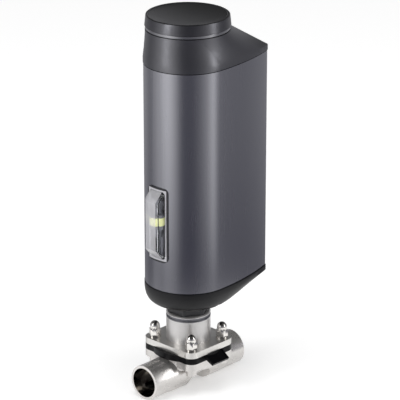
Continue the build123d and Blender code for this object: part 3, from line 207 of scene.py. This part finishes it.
def surface(name, hex_colour, metallic=0.0, roughness=0.4, spread=0.1, rough_spread=0.05,
            scale=900, stretch=(1, 1, 1), bump=0.05, shader=()):
    """Principled finish whose colour, roughness and relief follow one stretched noise."""
    material, nodes, links = node_material(name)
    principled = nodes["Principled BSDF"]
    principled.inputs["Metallic"].default_value = metallic
    for socket, value in dict(shader).items():
        principled.inputs[socket].default_value = value
    place = nodes.new("ShaderNodeTexCoord")
    mapping = nodes.new("ShaderNodeMapping")
    mapping.inputs["Scale"].default_value = stretch
    noise = nodes.new("ShaderNodeTexNoise")
    noise.inputs["Scale"].default_value = scale
    noise.inputs["Detail"].default_value = NOISE_DETAIL
    noise.inputs["Roughness"].default_value = NOISE_ROUGHNESS
    colour = linear(hex_colour)
    ramp = nodes.new("ShaderNodeValToRGB")
    dark, light = ramp.color_ramp.elements
    dark.position = RAMP_LOW
    light.position = RAMP_HIGH
    dark.color = tuple(c * (1 - spread) for c in colour) + (1.0,)
    light.color = tuple(min(1.0, c * (1 + spread)) for c in colour) + (1.0,)
    rough = nodes.new("ShaderNodeMapRange")
    rough.inputs["To Min"].default_value = max(LEAST_ROUGHNESS, roughness - rough_spread)
    rough.inputs["To Max"].default_value = min(1.0, roughness + rough_spread)
    relief = nodes.new("ShaderNodeBump")
    relief.inputs["Strength"].default_value = bump
    relief.inputs["Distance"].default_value = RELIEF_DEPTH
    links.new(place.outputs["Object"], mapping.inputs["Vector"])
    links.new(mapping.outputs["Vector"], noise.inputs["Vector"])
    links.new(noise.outputs["Fac"], ramp.inputs["Fac"])
    links.new(ramp.outputs["Color"], principled.inputs["Base Color"])
    links.new(noise.outputs["Fac"], rough.inputs["Value"])
    links.new(rough.outputs["Result"], principled.inputs["Roughness"])
    links.new(noise.outputs["Fac"], relief.inputs["Height"])
    links.new(relief.outputs["Normal"], principled.inputs["Normal"])
    return material


# Stretches of the noise that give drawn, turned and stacked metal its lines
DRAWN = (1, 1, 0.02)
TURNED = (0.1, 0.1, 5)
CAP_LINES = (0.05, 0.05, 4)
STACKED = (0.02, 0.02, 4)

# Housing and covers
ANODISED = surface("anodised_grey", "#9e9ea4", metallic=1.0, roughness=0.27, spread=0.008,
                   rough_spread=0.012, scale=400, stretch=DRAWN, bump=0.002)
COVER = surface("cover_grey", "#6e6e72", metallic=0.95, roughness=0.33, spread=0.03,
                scale=2500, bump=0.04)
BLACK = surface("cover_black", "#0f0f12", metallic=0.2, roughness=0.38, spread=0.05,
                scale=2500, bump=0.06)
ADAPTER = surface("adapter_black", "#39393b", metallic=0.3, roughness=0.45, spread=0.05,
                  scale=1500, bump=0.05)
CAP_SIDE = surface("cap_grey", "#636367", metallic=0.95, roughness=0.33, spread=0.05,
                   scale=500, stretch=CAP_LINES, bump=0.03)
# Painted shade: the cap's upward faces get a near-black copy of the cap's grey, standing in for
# the dark reflection on its top.
CAP_TOP_PAINTED_SHADE = surface("cap_top_painted_shade", "#16161b", metallic=0.8, roughness=0.18, spread=0.03, bump=0.01)
GUIDE = surface("light_guide", "#96969a", metallic=0.9, roughness=0.22, spread=0.03,
                scale=700, bump=0.01)

# Stainless steel of the valve
STEEL = surface("stainless_satin", "#dad7d4", metallic=0.88, roughness=0.28, spread=0.02,
                rough_spread=0.03, scale=350, bump=0.006)
BORE = surface("stainless_bore", "#cfcbc5", metallic=1.0, roughness=0.08, spread=0.02,
               rough_spread=0.01, scale=350, bump=0.0)
BONNET = surface("stainless_turned", "#dddbda", metallic=0.8, roughness=0.4, spread=0.04,
                 scale=500, stretch=TURNED, bump=0.04)
FLANGE = surface("stainless_flange", "#e0deda", metallic=1.0, roughness=0.33, spread=0.03,
                 rough_spread=0.04, scale=500, bump=0.02)
# Painted shade: a darker copy of the turned steel, laid in the bonnet's groove and a band below
# it, where shade falls in the recess.
GROOVE_PAINTED_SHADE = surface("stainless_groove_painted_shade", "#77777c", metallic=0.8, spread=0.04, scale=500,
                 stretch=TURNED, bump=0.04)
POLISHED = surface("stainless_polished", "#e9e6e2", metallic=1.0, roughness=0.12, spread=0.02,
                   rough_spread=0.03, scale=300, bump=0.02)

# Rubber, window and indicator
RUBBER = surface("elastomer_black", "#030306", roughness=0.34, scale=1800, bump=0.04,
                 shader={"Specular IOR Level": 0.16})
FRAME_LIP = surface("frame_lip", "#c4c3c8", roughness=0.35, spread=0.03)
FRAME_BLACK = surface("frame_black", "#2b2b2f", spread=0.06, scale=1800)
# Painted glow: the indicator's yellow also gives off a faint light of its own, though it is no
# lamp.
YELLOW_PAINTED_GLOW = surface("indicator_yellow", "#ffffb4", roughness=0.35, spread=0.03, scale=700, bump=0.02,
                 shader={"Emission Color": (1.0, 1.0, 0.55, 1.0), "Emission Strength": 0.3})
INDICATOR_DARK = surface("indicator_dark", "#94939a", roughness=0.35, spread=0.05, scale=700)
CLEAR = surface("window_clear", "#f4f6f8", roughness=0.04, spread=0.01, rough_spread=0.01,
                scale=200, bump=0.0, shader={"Transmission Weight": 1.0, "IOR": 1.46})
FROSTED = surface("window_frosted", "#fbfaff", roughness=0.14, spread=0.01, rough_spread=0.01,
                  scale=200, bump=0.0, shader={"Transmission Weight": 0.6, "IOR": 1.46})

# The drive's inside and its connectors
MACHINED = surface("machined_steel", "#a9a9a9", metallic=1.0, roughness=0.3, spread=0.05,
                   scale=500, bump=0.04)
BRONZE = surface("bronze", "#a8854f", metallic=1.0, roughness=0.32, spread=0.06, scale=500)
CAST = surface("cast_aluminium", "#8e8f91", metallic=1.0, roughness=0.5, spread=0.06, bump=0.1)
COPPER = surface("enamelled_copper", "#a8552c", metallic=0.8, roughness=0.35, bump=0.1)
LAMINATE = surface("laminated_steel", "#5c5c5e", metallic=1.0, roughness=0.45,
                   stretch=STACKED, bump=0.2)
MAGNET = surface("magnet_nickel", "#77777a", metallic=1.0, roughness=0.3, scale=500)
BOARD = surface("circuit_board", "#12442a", roughness=0.35, scale=400)
PLUG = surface("connector_nickel", "#bdb9b0", metallic=1.0, roughness=0.25, spread=0.04,
               scale=600, bump=0.03)

NODE_FINISH = {
    "compressor": CAST, "compressor_pin": MACHINED, "diaphragm_insert": MACHINED,
    "spindle": MACHINED, "rotor_shaft": MACHINED, "override_shaft": MACHINED,
    "lower_bearing": MACHINED, "upper_bearing": MACHINED, "frame_screws": MACHINED,
    "tie_rods": MACHINED, "studs": POLISHED, "guide_bush": BRONZE, "drive_nut": BRONZE,
    "override_bush": BRONZE, "motor_frame": CAST, "motor_cap": CAST, "board_bracket": CAST,
    "indicator_arm": CAST, "encoder_pillars": MACHINED, "stator_core": LAMINATE,
    "stator_windings": COPPER, "rotor_magnets": MAGNET, "encoder_disc": MAGNET,
    "main_board": BOARD, "encoder_board": BOARD, "light_board": BOARD,
    "power_connector": PLUG, "signal_connector": PLUG, "bus_connector": PLUG,
    "connector_nuts": PLUG, "spindle_seal": RUBBER, "adapter_o_ring": RUBBER,
    # The indicator sleeve's yellow carries a painted glow.
    "cap_seal": RUBBER, "indicator_carrier": INDICATOR_DARK, "indicator_sleeve": YELLOW_PAINTED_GLOW,
    "lower_gasket": RUBBER, "upper_gasket": RUBBER, "window_gasket": FRAME_BLACK,
    "window_bay": CLEAR, "hex_adapter": ADAPTER, "washers": POLISHED,
    "valve_body": STEEL, "bonnet": BONNET, "diaphragm": RUBBER, "bottom_cover": BLACK,
    "housing": ANODISED, "top_cover": COVER, "light_ring": GUIDE, "cap": CAP_SIDE,
    "cap_nuts": POLISHED,
}
for node, finish in NODE_FINISH.items():
    cad = frame["nodes"][node]
    cad.data.materials.clear()
    cad.data.materials.append(finish)


# Skins for the pieces that show, with the width in millimetres of their rounded edges

SKIN_EDGE = {
    "valve_body": 0.35, "bonnet": 0.35, "diaphragm": 0.4, "bottom_cover": 0.3, "housing": 0.25,
    "top_cover": 0.3, "light_ring": 0.25, "cap": 0.3, "cap_nuts": 0.15, "hex_adapter": 0.3,
    "window_gasket": 0.25, "window_bay": 0.3, "power_connector": 0.25, "signal_connector": 0.2,
    "bus_connector": 0.2, "washers": 0.15, "indicator_sleeve": 0.2,
}
skins = {node: skin_of(node, edge * MM) for node, edge in SKIN_EDGE.items()}


# Diaphragm: the clamped rim stays, and the two faces of the membrane are turned in an S from the
# rim up to the spindle's button. The heights rise from the rim to the middle, so that each face
# follows the valve at its edge and the spindle at its middle.

RIM_TOP = BODY_HIGH.z + 6.0 * MM
RIM_BORE_R = 20.5 * MM
RIM_SLACK = 0.2 * MM
MEMBRANE_R = 21.0 * MM
MEMBRANE_RISE = 1.5 * MM
UNDER_EDGE = BODY_HIGH.z + 1.5 * MM
OVER_EDGE = UNDER_EDGE + 3.0 * MM
BUTTON_R = 7.0 * MM
BUTTON_TOP = RIM_TOP + 2.0 * MM
INSERT_HEAD_R = 5.5 * MM
INSERT_STEM_R = 3.3 * MM
INSERT_LOW = RIM_TOP - 1.8 * MM
INSERT_HIGH = RIM_TOP + 0.2 * MM
MEMBRANE_STEPS = 24
MEMBRANE_SECTORS = 96


def membrane_curve(edge):
    """Half section of one face of the membrane, an S from the button down to the rim."""
    curve = []
    for i in range(MEMBRANE_STEPS + 1):
        u = 1 - i / MEMBRANE_STEPS
        rise = MEMBRANE_RISE * (3 * u * u - 2 * u**3)
        curve.append((MEMBRANE_R + (BUTTON_R - MEMBRANE_R) * u, edge + rise))
    return curve


def membrane_face(name, section):
    """Open surface turned from a half section, bent between the valve and the spindle."""
    obj = new_object(name, *turned(section, MEMBRANE_SECTORS, VALVE_X))
    obj.data.materials.append(RUBBER)
    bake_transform(obj)
    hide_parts("diaphragm")


def cut_membrane(obj):
    """Takes the membrane out of the diaphragm's skin and leaves the clamped rim."""
    bm = bmesh.new()
    bm.from_mesh(obj.data)
    inner = []
    for face in bm.faces:
        middle = face.calc_center_bounds()
        widest = max(hypot(v.co.x - VALVE_X, v.co.y) for v in face.verts)
        reach = hypot(middle.x - VALVE_X, middle.y)
        if reach < RIM_BORE_R - RIM_SLACK and widest < MEMBRANE_R:
            inner.append(face)
    bmesh.ops.delete(bm, geom=inner, context="FACES")
    bm.to_mesh(obj.data)
    bm.free()


cut_membrane(skins["diaphragm"])
socket_section = [
    (INSERT_STEM_R, BUTTON_TOP), (INSERT_STEM_R, INSERT_HIGH), (INSERT_HEAD_R, INSERT_HIGH),
    (INSERT_HEAD_R, INSERT_LOW), (0.0, INSERT_LOW),
]
under_section = [(0.0, UNDER_EDGE + MEMBRANE_RISE)] + membrane_curve(UNDER_EDGE)
over_section = [(INSERT_STEM_R, BUTTON_TOP), (BUTTON_R, BUTTON_TOP)] + membrane_curve(OVER_EDGE)
membrane_face("membrane_socket", socket_section)
membrane_face("membrane_under", under_section)
membrane_face("membrane_over", over_section)


# Second finishes: painted shade on the cap top and in the bonnet's groove, the flange of the
# bonnet, bores, window frame and bay, and the dark ends of the indicator sleeve

UP = (0, 0, 1)
ASIDE = (0, 1, 0)
FACES_UP = 0.9
FACES_FRONT = -0.3
FLANGE_TOP = 29.05 * MM
GROOVE_LOW = 51.4 * MM
GROOVE_HIGH = 55.2 * MM
BORE_R = 14.4 * MM
LIP_HALF_WIDTH = 11.1 * MM
LIP_LOW = GASKET_MIDDLE.z - 34.9 * MM
LIP_HIGH = GASKET_MIDDLE.z + 34.9 * MM
CLEAR_SIDE = -5.5 * MM
YELLOW_LOW = 154.8 * MM
YELLOW_HIGH = 162.5 * MM


def in_bore(middle, normal):
    """Inner walls of the two weld ends and of the passage over the weir."""
    inward = normal.y * middle.y + normal.z * middle.z < 0
    return inward and hypot(middle.y, middle.z) < BORE_R


# Painted shade: the cap's upward faces take the darker copy of its grey.
repaint(skins["cap"], CAP_TOP_PAINTED_SHADE, lambda middle, normal: normal.z > FACES_UP)
repaint(skins["bonnet"], FLANGE, lambda middle, normal: middle.z < FLANGE_TOP)
# Painted shade: the groove's faces and a band below them take the darker copy of the turned
# steel.
repaint(skins["bonnet"], GROOVE_PAINTED_SHADE, lambda middle, normal: GROOVE_LOW < middle.z < GROOVE_HIGH,
        [(UP, GROOVE_LOW)])
repaint(skins["valve_body"], BORE, in_bore)
repaint(skins["window_bay"], FROSTED,
        lambda middle, normal: normal.x < FACES_FRONT and middle.y > CLEAR_SIDE,
        [(ASIDE, CLEAR_SIDE)])
repaint(skins["window_gasket"], FRAME_LIP,
        lambda middle, normal: LIP_LOW < middle.z < LIP_HIGH and abs(middle.y) < LIP_HALF_WIDTH,
        [(ASIDE, -LIP_HALF_WIDTH), (ASIDE, LIP_HALF_WIDTH), (UP, LIP_LOW), (UP, LIP_HIGH)])
repaint(skins["indicator_sleeve"], INDICATOR_DARK,
        lambda middle, normal: not YELLOW_LOW < middle.z < YELLOW_HIGH,
        [(UP, YELLOW_LOW), (UP, YELLOW_HIGH)])


# Stage: background, floor, flags, lamps and camera

# Camera: its direction from the valve axis in degrees, its distance from the axis, its height
# and its pitch, the focal length in pixels and the pixel column on which the axis falls
CAMERA_AZIMUTH = -45.87
CAMERA_DISTANCE = 2.2214
CAMERA_HEIGHT = 1.0017
CAMERA_PITCH = 20.587
FOCAL_PIXELS = 2543.8
AXIS_PIXEL = 187.364
IMAGE_SIZE = 400
SENSOR_WIDTH = 36.0
CLIP_END = 50.0

# Background and floor: white where they are seen, and softer as a light
WHITE = (1, 1, 1, 1)
WORLD_SOFT = 0.55
FLOOR_HALF = 30.0
FLOOR_DROP = 0.02 * MM
FLOOR_COLOUR = (0.95, 0.95, 0.95, 1)
FLOOR_ROUGHNESS = 0.9
FLOOR_LIFT = 0.3

# Flags: a drum of gauze round the set, with a small hole on its axis
FLAG_HOLE = 1.0 * MM
FLAG_REACH = 3.2
FLAG_HEIGHT = 3.4
FLAG_DROP = 0.01 * MM
FLAG_STEPS = 96
FLAG_BLUE = 0.03

# Spans of height or of distance from the axis in which the flags change from one level to the
# next. RISE: from the low bands to the high band. CLOSE: from the near band to the low band.
# NEAR: the low band gains light. FOOT: the low band is dimmed on the camera's side, which
# FRONT bounds by the cosine of the turn.
RISE_SPAN = (0.7, 1.5)
CLOSE_SPAN = (0.20, 0.27)
NEAR_SPAN = (0.33, 0.85)
NEAR_LEVELS = (0.68, 1.13)
FOOT_SPAN = (0.28, 0.47)
FOOT_LEVELS = (0.82, 0.0)
FRONT_SPAN = (0.0, 0.3)

# Share of the white background that the flags let through, by the turn in degrees round the
# axis, to the right as the camera sees it. The low band holds for the ground and the foot of
# the wall, the near band for the ground close to the valve, the high band for what is above.
LOW_BAND = [
    (-180, 0.36), (-134, 0.38), (-116, 0.28), (-106, 0.28), (-94, 0.44), (-80, 0.60),
    (-68, 0.66), (-60, 0.78), (-52, 0.87), (-43, 0.77), (-32, 0.57), (-22, 0.27), (-13, 0.13),
    (8, 0.13), (20, 0.17), (31, 0.26), (42, 0.36), (53, 0.49), (63, 0.80), (69, 0.82),
    (77, 0.43), (85, 0.21), (94, 0.205), (108, 0.22), (120, 0.27), (130, 0.36), (150, 0.40),
    (180, 0.36),
]
NEAR_BAND = [
    (-180, 0.80), (-120, 0.70), (-86, 1.0), (-58, 1.0), (-35, 1.0), (-12, 0.85), (10, 0.80),
    (28, 0.90), (50, 1.0), (62, 1.0), (76, 1.0), (94, 1.0), (130, 0.90), (180, 0.80),
]
HIGH_BAND = [
    (-180, 0.14), (-130, 0.14), (-90, 0.10), (-60, 0.10), (-30, 0.05), (30, 0.05), (60, 0.10),
    (90, 0.10), (130, 0.14), (180, 0.14),
]

LAMP_AIM_HEIGHT = 0.18


def chain(nodes, links):
    """Returns a function that adds one math node to a node tree."""

    def math(operation, *values):
        node = nodes.new("ShaderNodeMath")
        node.operation = operation
        for socket, value in zip(node.inputs, values):
            if isinstance(value, (int, float)):
                socket.default_value = value
            else:
                links.new(value, socket)
        return node.outputs[0]

    return math


def seen_rays(nodes, math):
    """One for rays that show the background: from the camera, in metal and through glass."""
    path = nodes.new("ShaderNodeLightPath")
    direct = math("MAXIMUM", path.outputs["Is Camera Ray"], path.outputs["Is Transmission Ray"])
    return math("MAXIMUM", direct, path.outputs["Is Glossy Ray"])


def pale_world():
    """White where it is seen, in metal and glass too, and a soft even light on everything."""
    world = bpy.data.worlds.new("studio")
    bpy.context.scene.world = world
    world.use_nodes = True
    nodes = world.node_tree.nodes
    links = world.node_tree.links
    math = chain(nodes, links)
    background = nodes["Background"]
    background.inputs["Color"].default_value = WHITE
    level = math("MULTIPLY_ADD", seen_rays(nodes, math), 1 - WORLD_SOFT, WORLD_SOFT)
    links.new(level, background.inputs["Strength"])


def pale_floor():
    """Wide pale floor under the valve that keeps its shadow."""
    z = cad_low.z - FLOOR_DROP
    corners = [(-FLOOR_HALF, -FLOOR_HALF, z), (FLOOR_HALF, -FLOOR_HALF, z),
               (FLOOR_HALF, FLOOR_HALF, z), (-FLOOR_HALF, FLOOR_HALF, z)]
    floor = new_object("floor", corners, [(0, 1, 2, 3)])
    material, nodes, links = node_material("floor_white")
    math = chain(nodes, links)
    principled = nodes["Principled BSDF"]
    principled.inputs["Base Color"].default_value = FLOOR_COLOUR
    principled.inputs["Roughness"].default_value = FLOOR_ROUGHNESS
    principled.inputs["Emission Color"].default_value = WHITE
    lift = math("MULTIPLY", seen_rays(nodes, math), FLOOR_LIFT)
    links.new(lift, principled.inputs["Emission Strength"])
    floor.data.materials.append(material)


def ranged(nodes, links, value, span, levels=(0.0, 1.0)):
    """Value taken from a span to a pair of levels, and held at them beyond its ends."""
    node = nodes.new("ShaderNodeMapRange")
    for name, number in zip(("From Min", "From Max", "To Min", "To Max"), span + levels):
        node.inputs[name].default_value = number
    links.new(value, node.inputs["Value"])
    return node.outputs["Result"]


def band_ramp(nodes, links, share, band):
    """Grey level that follows a list of (turn, level) round the horizon."""
    ramp_node = nodes.new("ShaderNodeValToRGB")
    ramp = ramp_node.color_ramp
    ramp.interpolation = "EASE"
    for k, (turn, level) in enumerate(band):
        spot = turn / 360 + 0.5
        if k == 0:
            stop = ramp.elements[0]
        elif k == len(band) - 1:
            stop = ramp.elements[-1]
        else:
            stop = ramp.elements.new(spot)
        stop.position = spot
        stop.color = (level, level, level, 1)
    links.new(share, ramp_node.inputs["Fac"])
    return ramp_node.outputs["Color"]


def flag_material():
    """Black gauze, thin where the background shows through it and dense where it is dark."""
    material, nodes, links = node_material("flag_gauze")
    nodes.remove(nodes["Principled BSDF"])
    math = chain(nodes, links)
    place = nodes.new("ShaderNodeTexCoord")
    split = nodes.new("ShaderNodeSeparateXYZ")
    links.new(place.outputs["Object"], split.inputs["Vector"])
    x, y, z = split.outputs
    share = math("MULTIPLY_ADD", math("ARCTAN2", y, x), 0.5 / pi, 0.5)
    low_band, near_band, high_band = [
        band_ramp(nodes, links, share, band) for band in (LOW_BAND, NEAR_BAND, HIGH_BAND)]
    reach = math("SQRT", math("MULTIPLY_ADD", x, x, math("MULTIPLY", y, y)))
    above = ranged(nodes, links, z, RISE_SPAN)
    below = math("SUBTRACT", 1.0, above)
    far = ranged(nodes, links, reach, CLOSE_SPAN)
    near = math("SUBTRACT", 1.0, far)
    gain = ranged(nodes, links, reach, NEAR_SPAN, NEAR_LEVELS)
    foot = ranged(nodes, links, reach, FOOT_SPAN, FOOT_LEVELS)
    front = ranged(nodes, links, math("DIVIDE", x, reach), FRONT_SPAN)
    kept = math("SUBTRACT", 1.0, math("MULTIPLY", foot, front))
    far_level = math("MULTIPLY", math("MULTIPLY", low_band, gain), kept)
    low = math("MULTIPLY_ADD", far_level, far, math("MULTIPLY", near_band, near))
    through = math("ADD", math("MULTIPLY", low, below), math("MULTIPLY", high_band, above))
    shade = math("MULTIPLY", math("SUBTRACT", 1.0, through), FLAG_BLUE)
    blue = math("MULTIPLY_ADD", math("MULTIPLY", below, far), shade, through)
    level = nodes.new("ShaderNodeCombineColor")
    for socket, value in zip(level.inputs[:3], (through, through, blue)):
        links.new(value, socket)
    clear = nodes.new("ShaderNodeBsdfTransparent")
    links.new(level.outputs["Color"], clear.inputs["Color"])
    links.new(clear.outputs["BSDF"], nodes["Material Output"].inputs["Surface"])
    return material


def ground_angle(turn):
    """Angle on the ground of a turn in degrees to the right, as the camera sees it."""
    return radians(CAMERA_AZIMUTH - 90 + turn)


def flags():
    """Gauze flags round the set, on the ground, upright and overhead, that only gloss sees."""
    low = cad_low.z - FLAG_DROP
    section = [(FLAG_HOLE, low), (FLAG_REACH, low), (FLAG_REACH, FLAG_HEIGHT),
               (FLAG_HOLE, FLAG_HEIGHT)]
    flag = new_object("flags", *turned(section, FLAG_STEPS))
    flag.location = (VALVE_X, 0, 0)
    flag.rotation_euler = (0, 0, ground_angle(0))
    flag.data.materials.append(flag_material())
    flag.visible_camera = False
    flag.visible_diffuse = False
    flag.visible_transmission = False
    flag.visible_shadow = False


def lamp(name, turn, distance, height, size, power, glossy=True):
    """Area lamp at a turn to the right, as the camera sees it, aimed at the valve."""
    light = bpy.data.lights.new(name, "AREA")
    light.shape = "RECTANGLE"
    light.size, light.size_y = size
    light.energy = power
    obj = bpy.data.objects.new(name, light)
    a = ground_angle(turn)
    obj.location = (VALVE_X + distance * cos(a), distance * sin(a), height)
    aim = Vector((VALVE_X, 0, LAMP_AIM_HEIGHT)) - obj.location
    obj.rotation_euler = aim.to_track_quat("-Z", "Y").to_euler()
    obj.visible_glossy = glossy
    bpy.context.scene.collection.objects.link(obj)


def place_camera():
    """Camera at the photograph's place, turned so the valve axis falls on its pixel column."""
    data = bpy.data.cameras.new("camera")
    data.lens = FOCAL_PIXELS / IMAGE_SIZE * SENSOR_WIDTH
    data.sensor_width = SENSOR_WIDTH
    data.clip_end = CLIP_END
    obj = bpy.data.objects.new("camera", data)
    a = radians(CAMERA_AZIMUTH)
    obj.location = (VALVE_X + CAMERA_DISTANCE * sin(a), -CAMERA_DISTANCE * cos(a), CAMERA_HEIGHT)
    yaw = a - (IMAGE_SIZE / 2 - AXIS_PIXEL) / FOCAL_PIXELS
    obj.rotation_euler = (radians(90 - CAMERA_PITCH), 0, yaw)
    bpy.context.scene.collection.objects.link(obj)
    bpy.context.scene.camera = obj


lamp("key", turn=-57, distance=2.2, height=1.0, size=(0.5, 2.0), power=14)
lamp("fill", turn=72, distance=2.2, height=0.9, size=(0.4, 2.0), power=10)
lamp("top", turn=0, distance=0.4, height=2.4, size=(1.2, 1.2), power=14, glossy=False)
pale_world()
pale_floor()
flags()
place_camera()
bpy.context.scene.view_settings.view_transform = "Standard"
